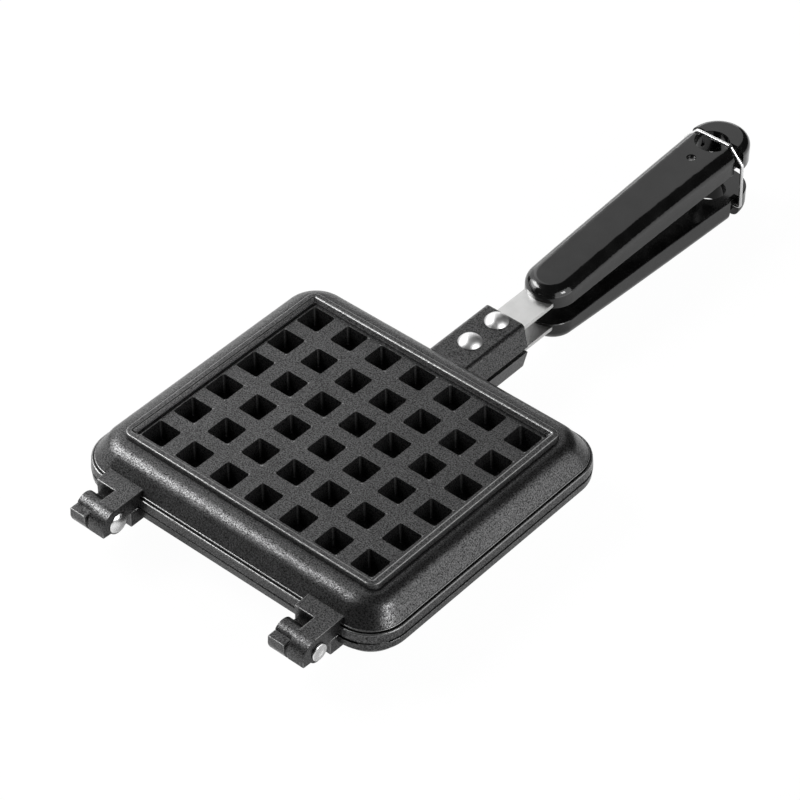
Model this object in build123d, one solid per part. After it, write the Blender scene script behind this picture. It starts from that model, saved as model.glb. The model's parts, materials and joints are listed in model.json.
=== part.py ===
"""Stovetop waffle iron: two identical hinged castings, riveted tangs, moulded grips and a wire latch.

Millimetres. X runs along the hinge line, +Y points to the handles and +Z is up. The origin lies under
the middle of the plates, in the plane of the lower plate's ridge, on which the iron rests.
Each half is drawn in its upper place with the parting plane at z = 0. The lower half is the same
half turned over about the Y axis.
"""
from build123d import *
from math import atan2, cos, degrees, hypot, radians, sin, sqrt, tan
import os

os.makedirs("parts", exist_ok=True)

# Waffle grid: the square pockets outside are the backs of the baking studs inside
PITCH = 18.0
POCKETS_X = 7
POCKETS_Y = 6
POCKET_MOUTH = 11.2
POCKET_DEPTH = 8.2
STUD_DRAFT = 10.0
STUD_WALL = 2.4
STUD_TIP_WALL = 3.0

# Ridge frame round the waffle panel
PANEL_MARGIN = 1.2
PANEL_CORNER = 0.8
RIDGE_HEIGHT = 2.5
RIDGE_LEDGE = 0.45
RIDGE_LEDGE_HEIGHT = 1.0
RIDGE_INNER_SLOPE = 1.0
RIDGE_CREST = 2.5
RIDGE_OUTER_SLOPE = 0.4
RIDGE_CORNER = 4.0

# Plate casting, heights above the parting plane, margins from the ridge's foot to the plate's edge
PLATE_MARGIN_X = 13.4
PLATE_MARGIN_Y = 14.45
PLATE_CORNER = 17.5
PARTING_EDGE = 0.4
LIP_HEIGHT = 4.4
LIP_DRAFT = 0.4
LEDGE = 1.15
STEP_HEIGHT = 0.9
STEP_LEDGE = 0.45
PANEL_HEIGHT = 14.2
PANEL_WALL = 3.0
SHOULDER_SLOPE_X = 5.35
SHOULDER_SLOPE_Y = 6.2
SHOULDER_CORNER = 13.0
SHOULDER_ROUND = 8.2
RIM_LAND = 4.0
CAVITY_SLOPE_X = 7.4
CAVITY_SLOPE_Y = 9.6
CAVITY_TOP_CORNER = 8.0

# Hinges: in each pair one casting has the outer knuckle and the other the inner one
HINGE_MARGIN = 18.15
HINGE_REACH = 10.9
KNUCKLE = 8.1
KNUCKLE_GAP = 1.6
ARM_HEIGHT = 7.4
KNUCKLE_ROUND = 5.0
NOSE_REACH = 8.3
NOSE_CURVE = 6.9
NOSE_DROP = 2.8
OPEN_ANGLE = 119.0
STOP_CLEARANCE = 0.15
PIN_DIAMETER = 5.0
PIN_CLEARANCE = 0.05
PIN_HEAD = 9.2
PIN_HEAD_DOME = 1.7
PIN_TAIL = 7.6
PIN_TAIL_THICK = 0.9
PIN_TAIL_DIMPLE = 4.6
PIN_SIDE_PLAY = 0.1

# Handle lug on the casting, an open channel over the tang
LUG_LENGTH = 29.5
LUG_HEIGHT = 11.7
LUG_BASE = 1.2
LUG_WIDTH_BASE = 25.2
LUG_WIDTH_TOP = 19.9
LUG_ROUND = 2.2

# Tang, a flat steel strip from the lug into the grip, and its rivets measured back from the lug's end
TANG_WIDTH = 15.0
TANG_THICK = 1.8
TANG_UNDER = 5.3
TANG_SIDE_FIT = 0.1
TANG_END_FIT = 0.3
TANG_BEFORE_RIVET = 6.4
TANG_SHOWN = 19.4
TANG_PAST_PIN = 4.0
TANG_RISE = 3.5
RIVET_FRONT_SETBACK = 22.2
RIVET_REAR_SETBACK = 5.4
RIVET_SHANK = 5.0
RIVET_CLEARANCE = 0.05
RIVET_HEAD = 10.5
RIVET_HEAD_HEIGHT = 3.1
RIVET_TAIL = 8.0
RIVET_TAIL_HEIGHT = 1.8

# Grip, heights above the parting plane and setbacks from its tip
GRIP_LENGTH = 136.5
GRIP_FRONT_WIDTH = 22.8
GRIP_MID_WIDTH = 23.6
GRIP_TIP_WIDTH = 26.0
GRIP_INNER_START = 4.1
GRIP_INNER_END = 7.6
GRIP_INNER_ARCH = -0.45
GRIP_TOP_START = 13.2
GRIP_TOP_END = 19.3
GRIP_TOP_ARCH = 1.45
GRIP_EDGE_ROUND = 5.2
GRIP_INNER_ROUND = 0.8
NECK_SETBACK = 16.8
NECK_LENGTH = 5.4
NECK_WIDTH = 21.2
NECK_DEPTH = 0.7
NECK_ROUND = 4.6
HANG_HOLE = 15.5
HANG_HOLE_SETBACK = 16.0
FIX_PIN = 4.0
FIX_PIN_CLEARANCE = 0.1
FIX_PIN_SETBACK = 31.0
FIX_PIN_RECESS = 1.6
FIX_PIN_FLOOR = 9.4

# Wire bail that latches the two grips together
WIRE = 1.6
WIRE_PLAY = 0.08
WIRE_CLEARANCE = 0.3
BAIL_SETBACK = 12.7
BAIL_PIVOT_DROP = 11.5
BAIL_LEAN = 3.6
BAIL_BAR = 17.4
BAIL_SPREAD = 30.2
BAIL_KNEE_DROP = 7.2
BAIL_BEND = 1.6
BAIL_HOOK_GAP = 16.6

# Worked out from the sizes above
PANEL_X = (POCKETS_X - 1) * PITCH + POCKET_MOUTH + 2 * PANEL_MARGIN
PANEL_Y = (POCKETS_Y - 1) * PITCH + POCKET_MOUTH + 2 * PANEL_MARGIN
RIDGE_FOOT = RIDGE_LEDGE + RIDGE_INNER_SLOPE + RIDGE_CREST + RIDGE_OUTER_SLOPE
PLATE_X = PANEL_X + 2 * (RIDGE_FOOT + PLATE_MARGIN_X)
PLATE_Y = PANEL_Y + 2 * (RIDGE_FOOT + PLATE_MARGIN_Y)
PARTING_Z = PANEL_HEIGHT + RIDGE_HEIGHT
CEILING = PANEL_HEIGHT - PANEL_WALL
HINGE_WIDTH = 2 * KNUCKLE + KNUCKLE_GAP
HINGE_OUTSIDE = PLATE_X / 2 - HINGE_MARGIN
HINGE_INSIDE = HINGE_OUTSIDE - HINGE_WIDTH
HINGE_CENTRE = HINGE_INSIDE + HINGE_WIDTH / 2
HINGE_Y = -PLATE_Y / 2 - HINGE_REACH
LUG_END = PLATE_Y / 2 + LUG_LENGTH
LUG_RIVET_FRONT = LUG_END - RIVET_FRONT_SETBACK
LUG_RIVET_REAR = LUG_END - RIVET_REAR_SETBACK
TANG_START = LUG_RIVET_FRONT - TANG_BEFORE_RIVET
GRIP_START = LUG_END + TANG_SHOWN
GRIP_END = GRIP_START + GRIP_LENGTH
HANG_HOLE_Y = GRIP_END - HANG_HOLE_SETBACK
FIX_PIN_Y = GRIP_END - FIX_PIN_SETBACK
TANG_TIP = FIX_PIN_Y + TANG_PAST_PIN
NECK_Y = GRIP_END - NECK_SETBACK + NECK_LENGTH / 2
BAIL_PIVOT_Y = GRIP_END - BAIL_SETBACK


def rounded(length_x, length_y, corner, height):
    """A rounded rectangle at a height, centred on the plate."""
    return Plane.XY.offset(height) * RectangleRounded(length_x, length_y, corner)


def tapered(low, high):
    """A solid between two rounded rectangles, each given as x, y, corner and height."""
    return loft([rounded(*low), rounded(*high)])


def along_x(outline, x_low, x_high):
    """Extrude a closed (y, z) outline from one x to another."""
    face = Plane.YZ.offset(x_low) * make_face(outline)
    return extrude(face, x_high - x_low)


def cap(diameter, height):
    """A shallow dome of a given width and height, standing on z = 0."""
    radius = (diameter**2 / 4 + height**2) / (2 * height)
    ball = Pos(0, 0, height - radius) * Sphere(radius)
    return ball & Pos(0, 0, height) * Cylinder(diameter, 2 * height)


def waffle_places():
    """Centres of the pockets."""
    return GridLocations(PITCH, PITCH, POCKETS_X, POCKETS_Y)


def pyramid(width, top, depth):
    """A square block that narrows downwards by the studs' draft."""
    inset = depth * tan(radians(STUD_DRAFT))
    block = Wedge(width, depth, width, inset, inset, width - inset, width - inset)
    return Pos(0, 0, top - depth / 2) * Rot(-90, 0, 0) * block


def pocket():
    """The hollow of one stud, open on the outside of the plate."""
    return pyramid(POCKET_MOUTH, PANEL_HEIGHT, POCKET_DEPTH)


def stud():
    """One baking stud, from inside the panel's wall to its tip."""
    root_depth = PANEL_WALL / 2
    root_width = POCKET_MOUTH + 2 * STUD_WALL - 2 * root_depth * tan(radians(STUD_DRAFT))
    return pyramid(root_width, PANEL_HEIGHT - root_depth, POCKET_DEPTH + STUD_TIP_WALL - root_depth)


def ridge_frame():
    """The raised frame round the waffle panel, stepped and sloped on its inner side."""
    crest_in = 2 * (RIDGE_LEDGE + RIDGE_INNER_SLOPE)
    crest_out = crest_in + 2 * RIDGE_CREST
    base_out = 2 * RIDGE_FOOT
    top = PANEL_HEIGHT + RIDGE_HEIGHT
    ledge = PANEL_HEIGHT + RIDGE_LEDGE_HEIGHT
    root = PANEL_HEIGHT - PANEL_WALL / 2
    foot = extrude(rounded(PANEL_X + base_out, PANEL_Y + base_out, RIDGE_CORNER, root), PANEL_WALL / 2)
    frame = foot + tapered(
        (PANEL_X + base_out, PANEL_Y + base_out, RIDGE_CORNER, PANEL_HEIGHT),
        (PANEL_X + crest_out, PANEL_Y + crest_out, RIDGE_CORNER, top),
    )
    frame -= tapered(
        (PANEL_X + 2 * RIDGE_LEDGE, PANEL_Y + 2 * RIDGE_LEDGE, PANEL_CORNER, ledge),
        (PANEL_X + crest_in, PANEL_Y + crest_in, PANEL_CORNER, top),
    )
    return frame - extrude(rounded(PANEL_X, PANEL_Y, PANEL_CORNER, PANEL_HEIGHT), RIDGE_LEDGE_HEIGHT)


def plate_outside():
    """Lip, ledge, step, domed shoulder and ridge frame, without the hollow inside."""
    lip_x = PLATE_X - 2 * LIP_DRAFT
    lip_y = PLATE_Y - 2 * LIP_DRAFT
    lip_corner = PLATE_CORNER - LIP_DRAFT
    lip_taper = degrees(atan2(LIP_DRAFT, LIP_HEIGHT))
    lip = extrude(rounded(PLATE_X, PLATE_Y, PLATE_CORNER, 0), LIP_HEIGHT, taper=lip_taper)
    lip = chamfer(lip.faces().sort_by(Axis.Z)[0].edges(), PARTING_EDGE)

    step_x = lip_x - 2 * LEDGE
    step_y = lip_y - 2 * LEDGE
    step_corner = lip_corner - LEDGE
    step = extrude(rounded(step_x, step_y, step_corner, LIP_HEIGHT), STEP_HEIGHT)

    foot_x = step_x - 2 * STEP_LEDGE
    foot_y = step_y - 2 * STEP_LEDGE
    shoulder = tapered(
        (foot_x, foot_y, step_corner - STEP_LEDGE, LIP_HEIGHT + STEP_HEIGHT),
        (foot_x - 2 * SHOULDER_SLOPE_X, foot_y - 2 * SHOULDER_SLOPE_Y, SHOULDER_CORNER, PANEL_HEIGHT),
    )
    shoulder = fillet(shoulder.faces().sort_by(Axis.Z)[-1].edges(), SHOULDER_ROUND)
    return lip + step + shoulder + ridge_frame()


def cavity():
    """The baking hollow on the parting side."""
    mouth_x = PLATE_X - 2 * RIM_LAND
    mouth_y = PLATE_Y - 2 * RIM_LAND
    return tapered(
        (mouth_x, mouth_y, PLATE_CORNER - RIM_LAND, 0),
        (mouth_x - 2 * CAVITY_SLOPE_X, mouth_y - 2 * CAVITY_SLOPE_Y, CAVITY_TOP_CORNER, CEILING),
    )


def root_reach():
    """How far the root blocks stand from the pin, so that the other casting's nose stops on them."""
    nose_radius = hypot(NOSE_REACH, NOSE_DROP)
    nose_angle = atan2(NOSE_DROP, NOSE_REACH)
    return nose_radius * cos(radians(180 - OPEN_ANGLE) - nose_angle) + STOP_CLEARANCE


def hinge_part(low, high):
    """A root block from one x to another, with an arm and knuckle at its far end."""
    back = RIM_LAND - PLATE_Y / 2
    root_front = HINGE_Y + root_reach()
    root = Polyline((root_front, 0), (back, 0), (back, ARM_HEIGHT), (root_front, ARM_HEIGHT), close=True)

    front = HINGE_Y - NOSE_REACH
    bend = front + NOSE_CURVE
    heel = HINGE_Y - sqrt(KNUCKLE_ROUND**2 - NOSE_DROP**2)
    toe = HINGE_Y + KNUCKLE_ROUND
    knuckle = Polyline((toe, 0), (back, 0), (back, ARM_HEIGHT), (bend, ARM_HEIGHT))
    knuckle += EllipticalCenterArc((bend, 0), NOSE_CURVE, ARM_HEIGHT, start_angle=90, arc_size=90)
    knuckle += Polyline((front, 0), (front, -NOSE_DROP), (heel, -NOSE_DROP))
    knuckle += ThreePointArc((heel, -NOSE_DROP), (HINGE_Y, -KNUCKLE_ROUND), (toe, 0))
    return along_x(root, low, high) + along_x(knuckle, high - KNUCKLE, high)


def pin_bore(x):
    """Running bore for a hinge pin, right through the hinge."""
    bore = Rot(0, 90, 0) * Cylinder(PIN_DIAMETER / 2 + PIN_CLEARANCE, 2 * HINGE_WIDTH)
    return Pos(x, HINGE_Y, 0) * bore


def lug():
    """Tapered lug with rounded top edges, from inside the shoulder to its free end."""
    outline = Polyline(
        (-LUG_WIDTH_BASE / 2, LUG_BASE),
        (LUG_WIDTH_BASE / 2, LUG_BASE),
        (LUG_WIDTH_TOP / 2, LUG_HEIGHT),
        (-LUG_WIDTH_TOP / 2, LUG_HEIGHT),
        close=True,
    )
    start = PLATE_Y / 2 - RIM_LAND - CAVITY_SLOPE_Y
    face = Plane.XZ.offset(-LUG_END) * make_face(outline)
    block = extrude(face, LUG_END - start)
    top_edges = block.edges().filter_by(Axis.Y).group_by(Axis.Z)[-1]
    return fillet(top_edges, LUG_ROUND)


def lug_channel():
    """The open-bottomed channel that takes the tang."""
    top = TANG_UNDER + TANG_THICK
    width = TANG_WIDTH + 2 * TANG_SIDE_FIT
    start = TANG_START - TANG_END_FIT
    length = 2 * (LUG_END - start)
    return Pos(0, start + length / 2, top / 2) * Box(width, length, top)


def rivet_hole(y):
    """Hole for a lug rivet, through lug and tang."""
    return Pos(0, y, LUG_HEIGHT / 2) * Cylinder(RIVET_SHANK / 2 + RIVET_CLEARANCE, 2 * LUG_HEIGHT)


def plate():
    """One whole casting. Its outer knuckle is on the +x side and its inner one on the -x side."""
    body = plate_outside() + lug()
    body += hinge_part(HINGE_INSIDE, HINGE_OUTSIDE)
    body += hinge_part(-HINGE_OUTSIDE, -HINGE_INSIDE)
    body -= cavity()
    body += [place * stud() for place in waffle_places()]
    body -= [place * pocket() for place in waffle_places()]
    body -= lug_channel()
    for x in (-HINGE_CENTRE, HINGE_CENTRE):
        body -= pin_bore(x)
    for y in (LUG_RIVET_FRONT, LUG_RIVET_REAR):
        body -= rivet_hole(y)
    return body


def hinge_pin(x, head_side):
    """Hinge pin with a domed head on one side and a rolled, dimpled tail on the other."""
    half = HINGE_WIDTH / 2 + PIN_SIDE_PLAY
    shank = Cylinder(PIN_DIAMETER / 2, 2 * half)
    head = Pos(0, 0, half) * cap(PIN_HEAD, PIN_HEAD_DOME)
    tail = Pos(0, 0, -half - PIN_TAIL_THICK / 2) * Cylinder(PIN_TAIL / 2, PIN_TAIL_THICK)
    tail = fillet(tail.edges().sort_by(Axis.Z)[0], PIN_TAIL_THICK / 2)
    dimple = Pos(0, 0, -half - PIN_TAIL_THICK) * cap(PIN_TAIL_DIMPLE, PIN_TAIL_THICK / 2)
    pin = shank + head + tail - dimple
    return Pos(x, HINGE_Y, 0) * Rot(0, 90 * head_side, 0) * pin


def strip(start, tip, half_width):
    """The bent strip of a tang: flat through the lug, rising inside the grip."""
    low = TANG_UNDER
    high = TANG_UNDER + TANG_THICK
    rise = (tip - GRIP_START) * tan(radians(TANG_RISE))
    outline = Polyline(
        (start, low),
        (GRIP_START, low),
        (tip, low + rise),
        (tip, high + rise),
        (GRIP_START, high),
        (start, high),
        close=True,
    )
    return along_x(outline, -half_width, half_width)


def tang():
    """The steel strip, with two rivet holes and a hole for the grip's pin."""
    body = strip(TANG_START, TANG_TIP, TANG_WIDTH / 2)
    for y in (LUG_RIVET_FRONT, LUG_RIVET_REAR):
        body -= rivet_hole(y)
    return body - fix_pin_bore()


def lug_rivet(y):
    """Round-head rivet, its head on the lug and its tail formed under the tang."""
    grip_length = LUG_HEIGHT - TANG_UNDER
    shank = Pos(0, 0, TANG_UNDER + grip_length / 2) * Cylinder(RIVET_SHANK / 2, grip_length)
    head = Pos(0, 0, LUG_HEIGHT) * cap(RIVET_HEAD, RIVET_HEAD_HEIGHT)
    tail = Pos(0, 0, TANG_UNDER) * Rot(180, 0, 0) * cap(RIVET_TAIL, RIVET_TAIL_HEIGHT)
    return Pos(0, y, 0) * (shank + head + tail)


def arched(y, start, end, arch):
    """Height at y of a shallow arch between the grip's front and its tip."""
    share = (y - GRIP_START) / (GRIP_END - GRIP_START)
    return start + share * (end - start) + 4 * arch * share * (1 - share)


def grip_top(y):
    """Height of the grip's outer face."""
    return arched(y, GRIP_TOP_START, GRIP_TOP_END, GRIP_TOP_ARCH)


def grip_inner(y):
    """Height of the grip's inner face."""
    return arched(y, GRIP_INNER_START, GRIP_INNER_END, GRIP_INNER_ARCH)


def grip_plan():
    """The grip from above: round front, slowly widening sides and round tip."""
    front = GRIP_FRONT_WIDTH / 2
    middle = GRIP_MID_WIDTH / 2
    tip = GRIP_TIP_WIDTH / 2
    front_centre = GRIP_START + front
    tip_centre = GRIP_END - tip
    side_middle = (front_centre + tip_centre) / 2
    outline = CenterArc((0, front_centre), front, 180, 180)
    outline += ThreePointArc((front, front_centre), (middle, side_middle), (tip, tip_centre))
    outline += CenterArc((0, tip_centre), tip, 0, 180)
    outline += ThreePointArc((-tip, tip_centre), (-middle, side_middle), (-front, front_centre))
    return make_face(outline)


def grip_side():
    """The grip from the side, longer at both ends than its plan."""
    start = GRIP_START - GRIP_EDGE_ROUND
    middle = (GRIP_START + GRIP_END) / 2
    end = GRIP_END + GRIP_EDGE_ROUND
    outline = ThreePointArc((start, grip_top(start)), (middle, grip_top(middle)), (end, grip_top(end)))
    outline += Line((end, grip_top(end)), (end, grip_inner(end)))
    outline += ThreePointArc((end, grip_inner(end)), (middle, grip_inner(middle)), (start, grip_inner(start)))
    outline += Line((start, grip_inner(start)), (start, grip_top(start)))
    return along_x(outline, -GRIP_TIP_WIDTH, GRIP_TIP_WIDTH)


def neck_top():
    """Height of the neck's outer face, on which the bail bears."""
    return grip_top(NECK_Y) - NECK_DEPTH


def neck():
    """The groove round the grip's end that the bail lies in, down to a narrower rounded section."""
    around = Box(2 * GRIP_TIP_WIDTH, NECK_LENGTH, 4 * GRIP_TOP_END)
    core = Box(NECK_WIDTH, NECK_LENGTH, 2 * neck_top())
    core = fillet(core.edges().filter_by(Axis.Y), NECK_ROUND)
    return Pos(0, NECK_Y, 0) * (around - core)


def bail_corners():
    """Corners of the bail from one pivot over its bar to the other: x, and distance from the pivot."""
    bar_height = neck_top() + WIRE_CLEARANCE + WIRE / 2
    reach = (bar_height + BAIL_PIVOT_DROP) / cos(radians(BAIL_LEAN))
    knee = reach - BAIL_KNEE_DROP
    leg = BAIL_SPREAD / 2
    bar = BAIL_BAR / 2
    return [(-leg, 0), (-leg, knee), (-bar, reach), (bar, reach), (leg, knee), (leg, 0)]


def outside_swing():
    """What the grip's end gives up so that the bail, pivoted in the other grip, swings over it."""
    profile = offset(make_face(Polyline(*bail_corners(), close=True)), -WIRE / 2 - WIRE_CLEARANCE)
    swing = Pos(0, BAIL_PIVOT_Y, -BAIL_PIVOT_DROP) * revolve(profile, Axis.X)
    beyond = Box(2 * GRIP_TIP_WIDTH, GRIP_LENGTH, 2 * GRIP_TOP_END)
    return Pos(0, NECK_Y + NECK_LENGTH / 2 + GRIP_LENGTH / 2, GRIP_TOP_END) * beyond - swing


def fix_pin_bore():
    """Blind bore for the pin that holds the grip on its tang."""
    length = GRIP_TOP_END
    return Pos(0, FIX_PIN_Y, FIX_PIN_FLOOR + length / 2) * Cylinder(FIX_PIN / 2 + FIX_PIN_CLEARANCE, length)


def handle():
    """One moulded grip, with its tang slot, neck, hang hole and the bail's cross holes."""
    body = extrude(grip_plan(), 2 * GRIP_TOP_END) & grip_side()
    body = fillet(body.faces().sort_by(Axis.Z)[-1].edges(), GRIP_EDGE_ROUND)
    body = fillet(body.faces().sort_by(Axis.Z)[0].edges(), GRIP_INNER_ROUND)
    body -= neck()
    body -= outside_swing()
    body -= strip(GRIP_START - TANG_THICK, TANG_TIP + TANG_END_FIT, TANG_WIDTH / 2 + TANG_SIDE_FIT)
    body -= Pos(0, HANG_HOLE_Y, GRIP_TOP_END / 2) * Cylinder(HANG_HOLE / 2, 2 * GRIP_TOP_END)
    cross_hole = Rot(0, 90, 0) * Cylinder(WIRE / 2 + WIRE_PLAY, 2 * GRIP_TIP_WIDTH)
    body -= Pos(0, BAIL_PIVOT_Y, BAIL_PIVOT_DROP) * cross_hole
    return body - fix_pin_bore()


def handle_pin():
    """The pin through grip and tang, sunk below the grip's outer face."""
    length = grip_top(FIX_PIN_Y) - FIX_PIN_RECESS - FIX_PIN_FLOOR
    return Pos(0, FIX_PIN_Y, FIX_PIN_FLOOR + length / 2) * Cylinder(FIX_PIN / 2, length)


def latch_bail():
    """The wire bail, hooked into the lower grip's cross holes and lying in the upper grip's neck."""
    lean = radians(BAIL_LEAN)
    facing = (0, -cos(lean), -sin(lean))
    bail_plane = Plane((0, BAIL_PIVOT_Y, -BAIL_PIVOT_DROP), x_dir=(1, 0, 0), z_dir=facing)
    hook = BAIL_HOOK_GAP / 2
    path = bail_plane * FilletPolyline((-hook, 0), *bail_corners(), (hook, 0), radius=BAIL_BEND)
    section = Plane(path @ 0, z_dir=path % 0) * Circle(WIRE / 2)
    return sweep(section, path=path)


def export(piece, name):
    """Lift a piece from the parting plane to its place over the rest plane and write it."""
    export_step(Pos(0, 0, PARTING_Z) * piece, f"parts/{name}.step")


half = {
    "plate": plate(),
    "tang": tang(),
    "lug_rivet_front": lug_rivet(LUG_RIVET_FRONT),
    "lug_rivet_rear": lug_rivet(LUG_RIVET_REAR),
    "handle": handle(),
    "handle_pin": handle_pin(),
}
turn_over = Rot(0, 180, 0)
for name, piece in half.items():
    export(piece, f"upper_{name}")
    export(turn_over * piece, f"lower_{name}")
export(hinge_pin(-HINGE_CENTRE, 1), "left_hinge_pin")
export(hinge_pin(HINGE_CENTRE, -1), "right_hinge_pin")
export(latch_bail(), "latch_bail")
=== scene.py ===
# %% [markdown]
# A stovetop waffle iron, dressed for a studio picture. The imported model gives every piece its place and
# size, so this script never moves one. It rounds their edges as casting, stamping and moulding do, gives each
# a finish, and lights them. All lengths are in metres, with Z up and the handles along +Y.

# %% Load the measured frame
import json
from dataclasses import dataclass
from math import asin, cos, pi, radians, sin

import bmesh
import bpy
from mathutils import Matrix, Vector


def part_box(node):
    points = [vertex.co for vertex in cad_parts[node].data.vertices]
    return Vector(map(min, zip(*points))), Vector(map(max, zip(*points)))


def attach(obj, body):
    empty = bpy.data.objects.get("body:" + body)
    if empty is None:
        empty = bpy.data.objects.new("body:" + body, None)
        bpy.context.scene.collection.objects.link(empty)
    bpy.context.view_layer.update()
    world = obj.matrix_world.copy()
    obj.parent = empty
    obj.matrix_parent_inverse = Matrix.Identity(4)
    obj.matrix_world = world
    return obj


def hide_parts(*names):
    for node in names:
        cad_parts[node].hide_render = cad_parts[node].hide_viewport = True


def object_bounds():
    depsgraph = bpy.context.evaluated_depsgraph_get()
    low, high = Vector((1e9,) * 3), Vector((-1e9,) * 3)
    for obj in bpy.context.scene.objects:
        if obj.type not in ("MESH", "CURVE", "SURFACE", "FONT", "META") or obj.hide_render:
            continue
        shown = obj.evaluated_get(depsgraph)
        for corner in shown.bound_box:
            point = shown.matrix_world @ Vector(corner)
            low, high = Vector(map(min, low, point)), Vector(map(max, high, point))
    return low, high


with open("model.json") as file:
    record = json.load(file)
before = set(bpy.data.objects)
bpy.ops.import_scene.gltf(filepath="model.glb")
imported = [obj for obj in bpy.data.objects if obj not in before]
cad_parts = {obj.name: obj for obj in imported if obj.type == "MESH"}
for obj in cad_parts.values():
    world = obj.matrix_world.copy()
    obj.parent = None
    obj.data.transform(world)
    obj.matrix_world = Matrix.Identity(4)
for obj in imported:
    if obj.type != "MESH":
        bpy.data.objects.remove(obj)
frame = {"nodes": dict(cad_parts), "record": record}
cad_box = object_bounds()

MM = 0.001

# %% [markdown]
# The camera stands where the picture was taken from. It could be placed by eye, but the regular rows of waffle
# pockets are as good as a printed ruler, so its place, aim, roll and long lens were solved from them. The long
# lens keeps the far handle large.

# %% Set up the camera
CAMERA_PLACE = Vector((0.61334, -0.68274, 0.88446))
CAMERA_AIM = Vector((0.00334, 0.03067, 0.03090))
CAMERA_ROLL = radians(0.334)
LENS = 145.05
SENSOR = 36.0
FARTHEST = 20

scene = bpy.context.scene
camera = bpy.data.objects.new("camera", bpy.data.cameras.new("camera"))
scene.collection.objects.link(camera)
camera.data.lens = LENS
camera.data.sensor_width = SENSOR
camera.data.clip_end = FARTHEST
facing = (CAMERA_AIM - CAMERA_PLACE).to_track_quat("-Z", "Y").to_matrix().to_4x4()
camera.matrix_world = Matrix.Translation(CAMERA_PLACE) @ facing @ Matrix.Rotation(CAMERA_ROLL, 4, "Z")
scene.camera = camera
scene.view_settings.view_transform = "Standard"
print("camera distance", round((CAMERA_AIM - CAMERA_PLACE).length, 3))

# %% [markdown]
# Shader maths is easier to read as sums than as boxes and wires. A small class wraps a socket, so that an
# expression such as 1 - mask * 0.3 adds its own Math nodes. Colours are blended by a Mix node instead,
# because a Math node would turn them grey.

# %% Write shader maths as expressions
class Value:
    """A socket of a node tree that can be added, subtracted and multiplied."""

    def __init__(self, finish, socket):
        self.finish = finish
        self.socket = socket

    def maths(self, operation, first, second):
        return self.finish.node("ShaderNodeMath", {"operation": operation}, {0: first, 1: second})

    def __add__(self, other):
        return self.maths("ADD", self, other)

    def __radd__(self, other):
        return self.maths("ADD", other, self)

    def __sub__(self, other):
        return self.maths("SUBTRACT", self, other)

    def __rsub__(self, other):
        return self.maths("SUBTRACT", other, self)

    def __mul__(self, other):
        return self.maths("MULTIPLY", self, other)

    def __rmul__(self, other):
        return self.maths("MULTIPLY", other, self)

    def clamped(self, low, high):
        """This value, stretched so that low becomes 0 and high becomes 1."""
        limits = {"From Min": low, "From Max": high, "To Min": 0.0, "To Max": 1.0}
        return self.finish.node("ShaderNodeMapRange", {"clamp": True}, {"Value": self, **limits})


print("a value can be added, subtracted, multiplied and clamped")

# %% [markdown]
# A finish is one material, or the room's light. All its nodes come from one method that sets a node's options
# first and its sockets after, because some sockets only appear once an option is chosen. Sockets go by name, or
# by number where several share one name, as they do on the Math and Mix nodes.

# %% Add nodes by one method
MIX_SHARE, MIX_LOW, MIX_HIGH, MIX_RESULT = 0, 6, 7, 2
SHADER_SHARE, FIRST_SHADER, SECOND_SHADER = 0, 1, 2


class Finish:
    """A material, or the world, whose nodes are added by one method."""

    def __init__(self, name, owner=None):
        self.block = owner or bpy.data.materials.new(name)
        self.block.use_nodes = True
        self.tree = self.block.node_tree
        self.tree.nodes.clear()

    def node(self, kind, settings, inputs, output=0):
        made = self.tree.nodes.new(kind)
        for name, value in settings.items():
            setattr(made, name, value)
        for name, value in inputs.items():
            if isinstance(value, Value):
                self.tree.links.new(value.socket, made.inputs[name])
            else:
                made.inputs[name].default_value = value
        return Value(self, made.outputs[output]) if len(made.outputs) else None

    def place(self):
        """The point on the surface, in the object's own metres."""
        return self.node("ShaderNodeTexCoord", {}, {}, output="Object")

    def stretched(self, scale):
        """The point on the surface with each axis stretched."""
        return self.node("ShaderNodeVectorMath", {"operation": "MULTIPLY"}, {0: self.place(), 1: scale})

    def noise(self, size, detail, where=None):
        """Soft random values, with blotches about as wide as size. Detail adds finer ones on top."""
        where = where or self.place()
        return self.node("ShaderNodeTexNoise", {}, {"Vector": where, "Scale": 1 / size, "Detail": detail})

    def painted(self, layer):
        """A value that the mesh carries, 0 where the layer was left blank."""
        return self.node("ShaderNodeAttribute", {"attribute_name": layer}, {}, output="Fac")

    def blend(self, share, low, high):
        """A colour between two, by share."""
        inputs = {MIX_SHARE: share, MIX_LOW: low, MIX_HIGH: high}
        return self.node("ShaderNodeMix", {"data_type": "RGBA"}, inputs, output=MIX_RESULT)

    def bump(self, height, depth):
        """A normal that follows a height between 0 and 1, depth metres deep."""
        return self.node("ShaderNodeBump", {}, {"Strength": 1.0, "Distance": depth, "Height": height})

    def ray(self, kind):
        """1 for rays of one kind, such as those that leave the camera, and 0 for all others."""
        return self.node("ShaderNodeLightPath", {}, {}, output=f"Is {kind} Ray")

    def surface(self, **inputs):
        """End the material in a Principled shader."""
        named = {name.replace("_", " "): value for name, value in inputs.items()}
        shader = self.node("ShaderNodeBsdfPrincipled", {}, named)
        self.node("ShaderNodeOutputMaterial", {}, {"Surface": shader})
        return self.block


def grey(level):
    """A neutral colour."""
    return (level, level, level, 1.0)


WHITE = grey(1.0)
print("white is", WHITE)
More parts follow.
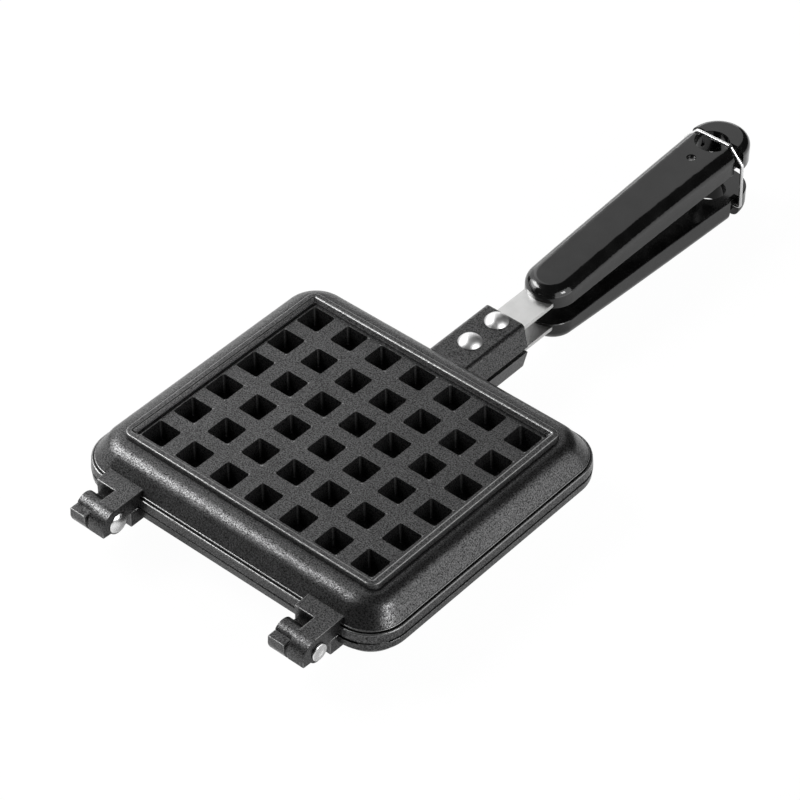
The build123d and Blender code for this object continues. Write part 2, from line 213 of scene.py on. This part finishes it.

# %% [markdown]
# The castings carry a baked-on non-stick coat: near-black and satin, with fine flakes that sparkle where a lamp
# is mirrored. A grain in the bump alone shows only near a lamp, because in even light every tilt mirrors the
# same grey. So the grain is also in the colour of a mostly metallic coat, where it sets how much each speck
# mirrors: dark specks swallow the room and pale ones send it back. Two layers that the mesh carries change it
# further: the rounded edges are painted pale, a painted highlight for the bright line that an edge catches, and
# the grooves are painted dark, a painted shade for the shade that falls in them.

# %% Make the non-stick coat
COAT_PIT = grey(0.004)
COAT_FLAKE = (0.115, 0.115, 0.116, 1.0)
# A pale colour for rounded edges: a painted highlight for the bright line that an edge catches.
COAT_EDGE_HIGHLIGHT = grey(0.17)
COAT_METALLIC = 0.94
COAT_ROUGHNESS = 0.38
FLAKE_POLISH = 0.08
WORN_ROUGHNESS = 0.03
COAT_GRAIN = 0.55 * MM
COAT_GRAIN_DEPTH = 0.06 * MM
TILT_SIZE = 1.2 * COAT_GRAIN
GRAINY, PATCHY = 2.0, 3.0
FLAKE_BAND = (0.30, 0.70)
WORN_PATCH = 14 * MM
WORN_BAND = (0.35, 0.7)
FRESH_SHARE = 0.85
# How strong the painted highlight on rounded edges is, and how dark the painted shade in grooves is.
HIGHLIGHT_LEAST = 0.4
GROOVE_SHADE_STRENGTH = 0.9
# The mesh layers that carry the painted highlight on edges and the painted shade in grooves.
EDGE_HIGHLIGHT = "painted_edge_highlight"
GROOVE_SHADE = "painted_groove_shade"


def make_coat():
    coat = Finish("nonstick_coat")
    flakes = coat.noise(COAT_GRAIN, GRAINY).clamped(*FLAKE_BAND)
    tilts = coat.noise(TILT_SIZE, GRAINY)
    worn = coat.noise(WORN_PATCH, PATCHY).clamped(*WORN_BAND)
    # The grooves get painted shade, which darkens their colour.
    unshaded = 1 - coat.painted(GROOVE_SHADE) * GROOVE_SHADE_STRENGTH
    shine = flakes * (FRESH_SHARE + worn * (1 - FRESH_SHARE)) * unshaded
    # The rounded edges get a painted highlight: a paler colour.
    painted_highlight = coat.painted(EDGE_HIGHLIGHT) * (HIGHLIGHT_LEAST + flakes * (1 - HIGHLIGHT_LEAST))
    return coat.surface(
        Base_Color=coat.blend(painted_highlight, coat.blend(shine, COAT_PIT, COAT_FLAKE), COAT_EDGE_HIGHLIGHT),
        Metallic=COAT_METALLIC,
        Roughness=COAT_ROUGHNESS - flakes * FLAKE_POLISH + worn * WORN_ROUGHNESS,
        Normal=coat.bump(tilts, COAT_GRAIN_DEPTH),
    )


nonstick_coat = make_coat()
print("coat nodes", len(nonstick_coat.node_tree.nodes))

# %% [markdown]
# The grips are pressed from black phenolic resin, polished by the mould until they are nearly mirror smooth.
# One glossy black would be simpler, but it looks like computer plastic. So a very shallow waviness bends the
# reflections, and fine pores and a trace of haze from handling dull them here and there.

# %% Make the grip's plastic
GRIP_BLACK = grey(0.002)
GRIP_GREY = grey(0.005)
GRIP_ROUGHNESS = 0.10
HAZE_ROUGHNESS = 0.06
PORE_ROUGHNESS = 0.02
HAZE_PATCH = 9 * MM
HAZE_BAND = (0.4, 0.75)
WAVE_SIZE = 11 * MM
WAVE_DEPTH = 0.05 * MM
PORE_SIZE = 0.5 * MM
PLAIN = 1.0


def make_grip():
    resin = Finish("black_phenolic")
    haze = resin.noise(HAZE_PATCH, PATCHY).clamped(*HAZE_BAND)
    pores = resin.noise(PORE_SIZE, GRAINY)
    waves = resin.noise(WAVE_SIZE, PLAIN)
    return resin.surface(
        Base_Color=resin.blend(haze, GRIP_BLACK, GRIP_GREY),
        Roughness=GRIP_ROUGHNESS + haze * HAZE_ROUGHNESS + pores * PORE_ROUGHNESS,
        Normal=resin.bump(waves, WAVE_DEPTH),
    )


black_phenolic = make_grip()
print("grip nodes", len(black_phenolic.node_tree.nodes))

# %% [markdown]
# The tangs are cut from satin strip, which keeps the fine lines of the rolling mill along its length. A noise
# that is stretched sixty times along Y draws those lines, in the roughness and as shallow grooves.

# %% Make the rolled strip
STRIP_COLOUR = (0.62, 0.62, 0.615, 1.0)
STRIP_STAIN = (0.52, 0.52, 0.515, 1.0)
STRIP_ROUGHNESS = 0.26
LINE_ROUGHNESS = 0.12
LINE_WIDTH = 0.25 * MM
LINE_LENGTH = 60 * LINE_WIDTH
LINE_DEPTH = 0.01 * MM
STAIN_PATCH = 6 * MM
STAIN_BAND = (0.45, 0.75)
STAIN_SHARE = 0.5


def make_strip():
    strip = Finish("satin_strip")
    drawn_out = strip.stretched((1 / LINE_WIDTH, 1 / LINE_LENGTH, 1 / LINE_WIDTH))
    lines = strip.noise(1.0, PATCHY, drawn_out)
    stain = strip.noise(STAIN_PATCH, PATCHY).clamped(*STAIN_BAND)
    return strip.surface(
        Base_Color=strip.blend(stain * STAIN_SHARE, STRIP_COLOUR, STRIP_STAIN),
        Metallic=1.0,
        Roughness=STRIP_ROUGHNESS + lines * LINE_ROUGHNESS,
        Normal=strip.bump(lines, LINE_DEPTH),
    )


satin_strip = make_strip()
print("strip nodes", len(satin_strip.node_tree.nodes))

# %% [markdown]
# Rivets, pins and wire are bright steel. One material would do for all, but they were formed in different
# ways: a hammered rivet head is satin, a turned pin smoother, and drawn wire the brightest. So one function
# makes three steels from three numbers each. Fine scuffs dull them all in patches.

# %% Make the rivets', pins' and wire's steel
DENT_SIZE = 2.2 * MM
SCUFF_SIZE = 0.8 * MM
SCUFF_BAND = (0.45, 0.8)
SCUFF_SHARE = 0.6
SCUFF_ROUGHNESS = 0.10
DULLED = 0.8


def make_bright(name, level, roughness, dent):
    """A bright steel, by how much it mirrors, how rough it is and how deep its dents are."""
    steel = Finish(name)
    dents = steel.noise(DENT_SIZE, GRAINY)
    scuffs = steel.noise(SCUFF_SIZE, PATCHY).clamped(*SCUFF_BAND)
    return steel.surface(
        Base_Color=steel.blend(scuffs * SCUFF_SHARE, grey(level), grey(DULLED * level)),
        Metallic=1.0,
        Roughness=roughness + scuffs * SCUFF_ROUGHNESS,
        Normal=steel.bump(dents, dent),
    )


bright_rivet = make_bright("bright_rivet_steel", level=0.60, roughness=0.40, dent=0.04 * MM)
pivot_steel = make_bright("turned_pivot_steel", level=0.66, roughness=0.24, dent=0.05 * MM)
spring_wire = make_bright("bright_spring_wire", level=0.72, roughness=0.14, dent=0.02 * MM)
print("steels", bright_rivet.name, pivot_steel.name, spring_wire.name)

# %% [markdown]
# A computer model has knife edges, and no real casting or moulding does. Each node is copied, its doubled
# corners are joined, and its sharp edges are rounded, because it is that round which catches the light as the
# fine bright line along a real edge. One radius for all would be held down by the narrowest step, so the edges
# are taken in groups, the widest rounds first. Each group also says whether its rounds are painted pale as a
# painted highlight or painted dark as painted shade.

# %% Group the edges of a piece
SHARP = radians(32)
UPRIGHT = 0.9
ROUND_RINGS = 3
FINE_RINGS = 2


@dataclass
class Rounding:
    """A group of edges and how it is rounded. A round that is held back shrinks where edges are close together.

    Some rounds are painted pale as a painted highlight, others dark as painted shade.
    """
    belongs: callable
    radius: float
    rings: int = ROUND_RINGS
    held_back: bool = True
    # The last two fields say whether a round gets a painted highlight or painted shade.
    painted_highlight: bool = False
    painted_shade: bool = False


def all_by(radius):
    """One group: every sharp edge by the same small radius."""
    return [Rounding(lambda edge: True, radius, FINE_RINGS)]


def sharp_edges(work):
    """Edges where two faces meet at a corner."""
    return [edge for edge in work.edges if edge.is_manifold and edge.calc_face_angle(0) > SHARP]


def middle_of(edge):
    return (edge.verts[0].co + edge.verts[1].co) / 2


def is_upright(edge):
    """Whether an edge runs up and down, as the corners of the tapered pockets and studs do."""
    run = edge.verts[1].co - edge.verts[0].co
    return abs(run.z) > UPRIGHT * run.length


print("an edge is sharp from", round(SHARP, 3), "radians")

# %% [markdown]
# A Bevel modifier would round the edges too, but it can't say which rounds get a painted highlight or painted
# shade, so they are bevelled in mesh code that paints each new face. The copy takes the node's place: it rides
# on the same body, and the node itself is hidden. Its faces are shaded smooth, with weighted normals, so that
# large flats stay flat and only the small rounds bend the light.

# %% Round, paint and dress a copy of a node
DOUBLED = 0.002 * MM
FLAT = radians(0.5)
BODY_OF = {node: body for body, nodes in frame["record"]["behaviour"]["bodies"].items() for node in nodes}


def round_edges(work, groups):
    """Round the sharp edges group by group, and paint the rounds with a painted highlight or painted shade."""
    # One layer holds the painted highlight on rounds, the other the painted shade.
    painted_highlight = work.loops.layers.float.new(EDGE_HIGHLIGHT)
    painted_shade = work.loops.layers.float.new(GROOVE_SHADE)
    for group in groups:
        edges = [edge for edge in sharp_edges(work) if group.belongs(edge)]
        rounds = bmesh.ops.bevel(
            work, geom=edges, offset=group.radius, offset_type="OFFSET", segments=group.rings, profile=0.5,
            affect="EDGES", clamp_overlap=group.held_back,
        )
        for corner in (corner for face in rounds["faces"] for corner in face.loops):
            corner[painted_highlight] = float(group.painted_highlight)
            corner[painted_shade] = float(group.painted_shade)


def paint_groove_shade(work, in_shade):
    """Paint painted shade on the faces that a test names."""
    painted_shade = work.loops.layers.float[GROOVE_SHADE]
    for corner in (corner for face in filter(in_shade, work.faces) for corner in face.loops):
        corner[painted_shade] = 1.0


def shade_smooth(work):
    """Shade all faces smooth, apart from the edges that are still sharp."""
    for face in work.faces:
        face.smooth = True
    for edge in sharp_edges(work):
        edge.smooth = False


def soften(node, name, material, groups, reshape=None, in_shade=None):
    """Copy a node, reshape it if asked, round its sharp edges group by group and give it a finish."""
    mesh = frame["nodes"][node].data.copy()
    mesh.name = name
    work = bmesh.new()
    work.from_mesh(mesh)
    bmesh.ops.remove_doubles(work, verts=work.verts, dist=DOUBLED)
    if reshape:
        reshape(work)
    bmesh.ops.dissolve_limit(work, angle_limit=FLAT, verts=work.verts, edges=work.edges)
    round_edges(work, groups)
    # The faces that the test names get painted shade.
    if in_shade:
        paint_groove_shade(work, in_shade)
    shade_smooth(work)
    work.to_mesh(mesh)
    work.free()
    if "custom_normal" in mesh.attributes:
        mesh.attributes.remove(mesh.attributes["custom_normal"])
    mesh.materials.clear()
    mesh.materials.append(material)
    piece = bpy.data.objects.new(name, mesh)
    scene.collection.objects.link(piece)
    even = piece.modifiers.new("even_shading", "WEIGHTED_NORMAL")
    even.keep_sharp = True
    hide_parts(node)
    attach(piece, BODY_OF[node])
    print(name, "faces", len(mesh.polygons))


print("nodes on bodies", len(BODY_OF))

# %% [markdown]
# A casting's edges fall into families, each at its own depth below the crest of the ridge: the crest itself,
# the step at the foot of the shoulder, and the rim of the lip. Hinges and lug lie outside the plate. The two
# lips meet at the parting plane, where a round on each makes the dark line between them. Edges that run into
# that round cut it short, so it isn't held back by them, and it comes last, because the tiny edges that it
# leaves would hold back all the others. That round, and the ledge between shoulder and lip, are painted dark as
# painted shade, while the rounds of crest, step, lip, pocket corners, hinges and lug are painted pale as a
# painted highlight.

# %% Measure from the crest and from the middle
PANEL_HALF = (62 * MM, 53 * MM)
RIM_HALF = (76 * MM, 68 * MM)
PLATE_HALF = (78.7 * MM, 70.8 * MM)


def crest_of(half):
    """The height of the ridge's crest, which is the top of the upper casting and the foot of the lower one."""
    low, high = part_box(f"{half}_plate")
    return high[2] if half == "upper" else low[2]


def past(place, half_size):
    """Whether a place is outside a rectangle round the plate's middle."""
    return abs(place.x) > half_size[0] or abs(place.y) > half_size[1]


print("crests at", [round(crest_of(half), 4) for half in ("upper", "lower")])

# %% Sort the edges of the castings
POCKET_ROUND = 0.8 * MM
CREST_ROUND = 0.5 * MM
LIP_ROUND = 0.6 * MM
STEP_ROUND = 0.4 * MM
HINGE_ROUND = 0.4 * MM
FINE_ROUND = 0.2 * MM
PARTING_ROUND = 0.7 * MM
PARTING = 16.7 * MM
TOUCH = 0.05 * MM
STEP_DEPTHS = (11.3 * MM, 11.5 * MM)
LIP_DEPTHS = (12.2 * MM, 12.4 * MM)
LONG_EDGE = 2.5 * MM


def casting_groups(half):
    """The groups of a casting's edges, in the order in which they are rounded."""
    crest = crest_of(half)

    def below_crest(edge, depths):
        return edge.is_convex and all(depths[0] < abs(corner.co.z - crest) < depths[1] for corner in edge.verts)

    def pocket_corner(edge):
        return is_upright(edge) and not past(middle_of(edge), PANEL_HALF)

    def on_crest(edge):
        return below_crest(edge, (-TOUCH, TOUCH))

    def on_step(edge):
        return below_crest(edge, STEP_DEPTHS)

    def on_lip(edge):
        return below_crest(edge, LIP_DEPTHS)

    def on_hinge_or_lug(edge):
        return edge.is_convex and past(middle_of(edge), PLATE_HALF) and edge.calc_length() > LONG_EDGE

    def on_parting(edge):
        at_rim = past(middle_of(edge), RIM_HALF) and not past(middle_of(edge), PLATE_HALF)
        return edge.is_convex and at_rim and all(abs(corner.co.z - PARTING) < TOUCH for corner in edge.verts)

    def elsewhere(edge):
        return not on_parting(edge)

    return [
        # The first five groups' rounds get a painted highlight, the parting round gets painted shade.
        Rounding(pocket_corner, POCKET_ROUND, painted_highlight=True),
        Rounding(on_crest, CREST_ROUND, painted_highlight=True),
        Rounding(on_lip, LIP_ROUND, painted_highlight=True),
        Rounding(on_step, STEP_ROUND, painted_highlight=True),
        Rounding(on_hinge_or_lug, HINGE_ROUND, held_back=False, painted_highlight=True),
        Rounding(elsewhere, FINE_ROUND, FINE_RINGS),
        Rounding(on_parting, PARTING_ROUND, held_back=False, painted_shade=True),
    ]


print("edge groups of a casting", len(casting_groups("upper")))

# %% Find the ledge that gets painted shade
GROOVE_DEPTHS = (11.55 * MM, 12.37 * MM)


def ledge_finder(half):
    """A test for the faces of the ledge at the foot of the shoulder."""
    crest = crest_of(half)

    def on_ledge(face):
        depths = [abs(corner.co.z - crest) for corner in face.verts]
        outside = past(face.calc_center_median(), PANEL_HALF)
        return outside and GROOVE_DEPTHS[0] < min(depths) and max(depths) < GROOVE_DEPTHS[1]

    return on_ledge


print("ledge from", *(round(depth, 5) for depth in GROOVE_DEPTHS), "below the crest")

# %% [markdown]
# The end of a real grip is a full round knob, and the bail snaps over it when the grips are squeezed. The
# solids can't flex, so theirs is trimmed to let the bail swing. Pulling the trimmed end's corners out again
# leaves a ragged surface. So it is cut off at the neck, and a new one is built as rings up its side: a small
# round at the foot, the wall, then a large round into the flat top. The hang hole runs through it, so the new
# end is a C that closes the hole's far half.

# %% Draw the knob's side
TIP_FOOT = 7.17 * MM
TIP_TOP = 18.6 * MM
TIP_ROUND = 4.0 * MM
FOOT_ROUND = 0.6 * MM
FOOT_STEPS = 3
ROUND_STEPS = 8


def steps(start, end, count):
    """Evenly spaced values from start to end."""
    return [start + (end - start) * step / count for step in range(count + 1)]


def tip_profile():
    """Inset and height of the rings up the side: a small round, the wall, a large round."""
    foot = [
        (FOOT_ROUND * (1 - sin(turn)), TIP_FOOT + FOOT_ROUND * (1 - cos(turn)))
        for turn in steps(0, pi / 2, FOOT_STEPS)
    ]
    top = [
        (TIP_ROUND * (1 - cos(turn)), TIP_TOP - TIP_ROUND * (1 - sin(turn)))
        for turn in steps(0, pi / 2, ROUND_STEPS)
    ]
    return foot + top


print("rings up the knob", len(tip_profile()))

# %% Build the knob at the grip's end
NECK_END = 244.57 * MM
TIP_HALF = 13.7 * MM
TIP_REACH = 14.4 * MM
HOLE_CENTRE = 240.0 * MM
HOLE_RADIUS = 7.75 * MM
GRIP_SLOPE = 0.037
ALONG_STEPS = 40


def build_tip(side):
    """The knob as a closed mesh of its own, on one side of the parting plane."""
    tip = bmesh.new()

    def corner(across, along, height):
        """A corner of the mesh. The lower ones follow the slope of the grip's inner face."""
        lean = GRIP_SLOPE * along if height < TIP_TOP / 2 else 0
        return tip.verts.new((across, NECK_END + along, PARTING + side * (height + lean)))

    rings = [
        [
            corner((TIP_HALF - inset) * cos(turn), (TIP_REACH - inset) * sin(turn), height)
            for turn in steps(0, pi, ALONG_STEPS)
        ]
        for inset, height in tip_profile()
    ]
    first = asin((NECK_END - HOLE_CENTRE) / HOLE_RADIUS)
    hole = [
        [
            corner(HOLE_RADIUS * cos(turn), HOLE_CENTRE - NECK_END + HOLE_RADIUS * sin(turn), height)
            for turn in steps(first, pi - first, ALONG_STEPS)
        ]
        for height in (TIP_FOOT, TIP_TOP)
    ]
    for ring, rim in ((rings[0], hole[0]), (rings[-1], hole[1])):
        tip.faces.new(ring + rim[::-1])
    for end in (0, -1):
        tip.faces.new([ring[end] for ring in rings] + [hole[1][end], hole[0][end]])
    for below, above in [*zip(rings, rings[1:]), hole]:
        for near in range(ALONG_STEPS):
            tip.faces.new((below[near], below[near + 1], above[near + 1], above[near]))
    bmesh.ops.recalc_face_normals(tip, faces=tip.faces)
    return tip


print("knob ends at", round(NECK_END + TIP_REACH, 4))

# %% [markdown]
# The old end is cut off a hair beyond the neck, and the cut is closed. Knob and grip could simply overlap, but
# the seam would show as a crack. The Boolean modifier joins them into one closed skin, so that the seam is
# rounded like any other edge.

# %% Put the knob on the grip
BITE = 0.02 * MM
WELDED = 0.03 * MM
CUT_EXACT = 0.0001 * MM
ALONG_GRIP = (0, 1, 0)


def unite(work, other):
    """Join another closed mesh to work, so that the two become one skin."""
    helpers = []
    for source in (work, other):
        mesh = bpy.data.meshes.new("helper")
        source.to_mesh(mesh)
        helpers.append(bpy.data.objects.new("helper", mesh))
        scene.collection.objects.link(helpers[-1])
    join = helpers[0].modifiers.new("join", "BOOLEAN")
    join.operation = "UNION"
    join.object = helpers[1]
    joined = helpers[0].evaluated_get(bpy.context.evaluated_depsgraph_get())
    work.clear()
    work.from_mesh(joined.to_mesh())
    for helper in helpers:
        bpy.data.objects.remove(helper)
    bmesh.ops.remove_doubles(work, verts=work.verts, dist=WELDED)


def renew_tip(work):
    """Replace the grip's trimmed end by the full knob."""
    side = 1 if max(corner.co.z for corner in work.verts) > 2 * PARTING else -1
    everything = work.verts[:] + work.edges[:] + work.faces[:]
    bmesh.ops.bisect_plane(
        work, geom=everything, plane_co=(0, NECK_END + BITE, 0), plane_no=ALONG_GRIP, clear_outer=True,
        dist=CUT_EXACT,
    )
    bmesh.ops.holes_fill(work, edges=[edge for edge in work.edges if edge.is_boundary])
    tip = build_tip(side)
    unite(work, tip)
    tip.free()
    print("open edges of the grip", sum(1 for edge in work.edges if not edge.is_manifold))


print("grip is cut off at", round(NECK_END + BITE, 5))

# %% [markdown]
# Each of the fifteen nodes gets its copy. Cut strip and turned pins have smaller rounds than moulded resin, and
# the bail is round wire already. Both halves are the same pattern, so one loop dresses them alike.

# %% Dress all the pieces
GRIP_ROUND = 0.35 * MM
STRIP_ROUND = 0.18 * MM
RIVET_ROUND = 0.12 * MM
GRIP_PIN_ROUND = 0.2 * MM
HINGE_PIN_ROUND = 0.15 * MM

for half in ("upper", "lower"):
    plate, casting = f"{half}_plate", f"{half}_casting"
    # The ledge between shoulder and lip gets painted shade.
    soften(plate, casting, nonstick_coat, casting_groups(half), in_shade=ledge_finder(half))
    soften(f"{half}_handle", f"{half}_grip", black_phenolic, all_by(GRIP_ROUND), renew_tip)
    soften(f"{half}_tang", f"{half}_strip", satin_strip, all_by(STRIP_ROUND))
    for place in ("front", "rear"):
        rivet = f"{half}_lug_rivet_{place}"
        soften(rivet, f"{half}_rivet_{place}", bright_rivet, all_by(RIVET_ROUND))
    soften(f"{half}_handle_pin", f"{half}_grip_pin", bright_rivet, all_by(GRIP_PIN_ROUND))
for side in ("left", "right"):
    soften(f"{side}_hinge_pin", f"{side}_pivot", pivot_steel, all_by(HINGE_PIN_ROUND))
soften("latch_bail", "wire_bail", spring_wire, [])

# %% [markdown]
# The background of a catalogue picture is pure white. A floor that only glows would be white, but it would lose
# the shadow. So the camera sees it glow, polished metal mirrors part of that glow, and the rest of it is an
# ordinary matt surface on which the iron casts a faint shadow.

# %% Lay the white floor
FLOOR_GAP = 0.2 * MM
FLOOR_HALF = 3.0
FLOOR_COLOUR = grey(0.9)
FLOOR_GLOW = 0.975
FLOOR_MIRRORED = 0.35


def make_white_floor():
    white = Finish("white_floor")
    seen = white.ray("Camera") + white.ray("Transmission")
    share = seen * FLOOR_GLOW + white.ray("Glossy") * FLOOR_MIRRORED
    matt = white.node("ShaderNodeBsdfDiffuse", {}, {"Color": FLOOR_COLOUR})
    glow = white.node("ShaderNodeEmission", {}, {"Color": WHITE, "Strength": 1.0})
    inputs = {SHADER_SHARE: share, FIRST_SHADER: matt, SECOND_SHADER: glow}
    mixed = white.node("ShaderNodeMixShader", {}, inputs)
    white.node("ShaderNodeOutputMaterial", {}, {"Surface": mixed})
    return white.block


floor_height = cad_box[0][2] - FLOOR_GAP
corners = [(x * FLOOR_HALF, y * FLOOR_HALF, floor_height) for x, y in ((-1, -1), (1, -1), (1, 1), (-1, 1))]
floor_mesh = bpy.data.meshes.new("floor")
floor_mesh.from_pydata(corners, [], [(0, 1, 2, 3)])
floor_mesh.materials.append(make_white_floor())
floor = bpy.data.objects.new("floor", floor_mesh)
scene.collection.objects.link(floor)
print("floor at", round(floor_height, 5))

# %% [markdown]
# Black glossy things are lit by what they mirror, so each light is placed by the direction that the surface
# sends the eye to. A strong softbox high on the left draws the streak along the front shoulder, and a larger,
# weaker one round it lets the streak fade out. A low skirt and a fill give the shoulder's foot and far side
# some light. Dim panels behind give the flat tops their even grey, and one on the right the glint on the near
# corner. A card close to the right of the castings fills their right shoulder, yet it ends before the handles,
# so that their rounded edges mirror the dark room and stay black.

# %% Hang the soft lights
OBJECT_MIDDLE = Vector((0.0, 0.05, 0.02))
CARD_MIDDLE = Vector((0.07, 0.09, 0.12))


def hang_panel(name, azimuth, elevation, distance, width, height, brightness, middle=OBJECT_MIDDLE):
    """A soft light, in degrees round from +X and up from the floor, as bright as a mirror would show it."""
    lamp = bpy.data.lights.new(name, "AREA")
    lamp.shape = "RECTANGLE"
    lamp.size = width
    lamp.size_y = height
    lamp.energy = brightness * pi * width * height
    panel = bpy.data.objects.new(name, lamp)
    scene.collection.objects.link(panel)
    turn, rise = radians(azimuth), radians(elevation)
    direction = Vector((cos(rise) * cos(turn), cos(rise) * sin(turn), sin(rise)))
    panel.location = middle + direction * distance
    panel.rotation_euler = (-direction).to_track_quat("-Z", "Y").to_euler()
    panel.visible_camera = False
    print(name, "watts", round(lamp.energy, 1))


# Degrees round, degrees up, then metres away, wide and high, then brightness
hang_panel("left_softbox", 203, 45, 1.5, 0.70, 0.50, 13.0)
hang_panel("left_softbox_edge", 204, 38, 1.55, 1.10, 0.95, 6.0)
hang_panel("left_skirt", 210, 14, 1.5, 1.10, 0.45, 1.5)
hang_panel("left_fill", 160, 38, 1.6, 1.0, 1.3, 1.5)
hang_panel("back_wall", 132, 30, 1.7, 1.2, 1.3, 0.9)
hang_panel("back_low", 140, 9, 1.6, 1.8, 0.4, 2.0)
hang_panel("right_softbox", 356, 27, 1.5, 0.4, 0.5, 16.0)
hang_panel("right_card", 0, 0, 0.15, 0.30, 0.24, 2.0, CARD_MIDDLE)

# %% [markdown]
# The room beyond the lights is almost black to the iron, which gives its edges their depth, but white to the
# camera, as the background of a catalogue is. A Light Path node tells the two apart.

# %% Leave the room dim but white to the camera
ROOM_DIM = 0.04


def make_room():
    scene.world = bpy.data.worlds.new("room")
    room = Finish("room", scene.world)
    seen = room.ray("Camera") + room.ray("Transmission")
    strength = seen * (1 - ROOM_DIM) + ROOM_DIM
    glow = room.node("ShaderNodeBackground", {}, {"Color": WHITE, "Strength": strength})
    room.node("ShaderNodeOutputWorld", {}, {"Surface": glow})


make_room()
print("room brightness", ROOM_DIM)
